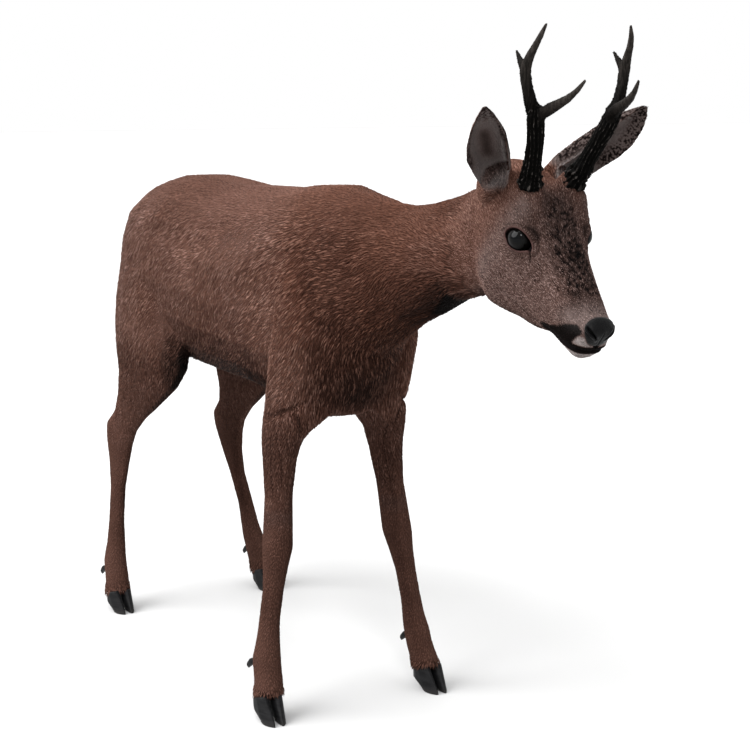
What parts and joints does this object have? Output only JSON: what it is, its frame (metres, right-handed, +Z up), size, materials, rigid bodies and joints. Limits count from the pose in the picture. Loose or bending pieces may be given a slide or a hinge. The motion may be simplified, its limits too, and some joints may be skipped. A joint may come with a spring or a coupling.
{
  "type": "roe deer",
  "caption": "Life-size roe deer buck standing still with its head lowered, with short forked antlers, large open ears and cloven hooves.",
  "frame": {"origin": "on the floor under the middle of the deer's length and width", "axes": "+Z up, the deer looks along -Y, its own left side is +X"},
  "size_m": [0.2926, 1.2362, 0.8811],
  "materials": {
    "coat": "short dense hair, dark reddish brown, matt with a soft sheen",
    "face_coat": "very short speckled hair, grey-brown, matt",
    "ear_coat": "short grey hair inside, brown behind, dark rim",
    "nose_skin": "bare grained skin, slightly moist",
    "hoof_horn": "satin charcoal horn",
    "antler": "ridged dark bone, satin, paler at the points",
    "eye": "polished, almost black"
  },
  "bodies": {
    "root": {"antler_left_front_tine": "antler", "antler_left_lower_beam": "antler", "antler_left_rear_tine": "antler", "antler_left_upper_beam": "antler", "antler_right_front_tine": "antler", "antler_right_lower_beam": "antler", "antler_right_rear_tine": "antler", "antler_right_upper_beam": "antler", "ear_left": "ear_coat", "ear_right": "ear_coat", "eye_left": "eye", "eye_right": "eye", "fore_left_arm": "coat", "fore_left_cannon": "coat", "fore_left_dewclaw_inner": "hoof_horn", "fore_left_dewclaw_outer": "hoof_horn", "fore_left_forearm": "coat", "fore_left_hoof_inner": "hoof_horn", "fore_left_hoof_outer": "hoof_horn", "fore_left_pastern": "coat", "fore_right_arm": "coat", "fore_right_cannon": "coat", "fore_right_dewclaw_inner": "hoof_horn", "fore_right_dewclaw_outer": "hoof_horn", "fore_right_forearm": "coat", "fore_right_hoof_inner": "hoof_horn", "fore_right_hoof_outer": "hoof_horn", "fore_right_pastern": "coat", "head": "face_coat", "hind_left_cannon": "coat", "hind_left_dewclaw_inner": "hoof_horn", "hind_left_dewclaw_outer": "hoof_horn", "hind_left_hoof_inner": "hoof_horn", "hind_left_hoof_outer": "hoof_horn", "hind_left_pastern": "coat", "hind_left_shank": "coat", "hind_left_thigh": "coat", "hind_right_cannon": "coat", "hind_right_dewclaw_inner": "hoof_horn", "hind_right_dewclaw_outer": "hoof_horn", "hind_right_hoof_inner": "hoof_horn", "hind_right_hoof_outer": "hoof_horn", "hind_right_pastern": "coat", "hind_right_shank": "coat", "hind_right_thigh": "coat", "lower_jaw": "face_coat", "neck": "coat", "nose": "nose_skin", "tail": "coat", "trunk": "coat"}
  },
  "joints": []
}
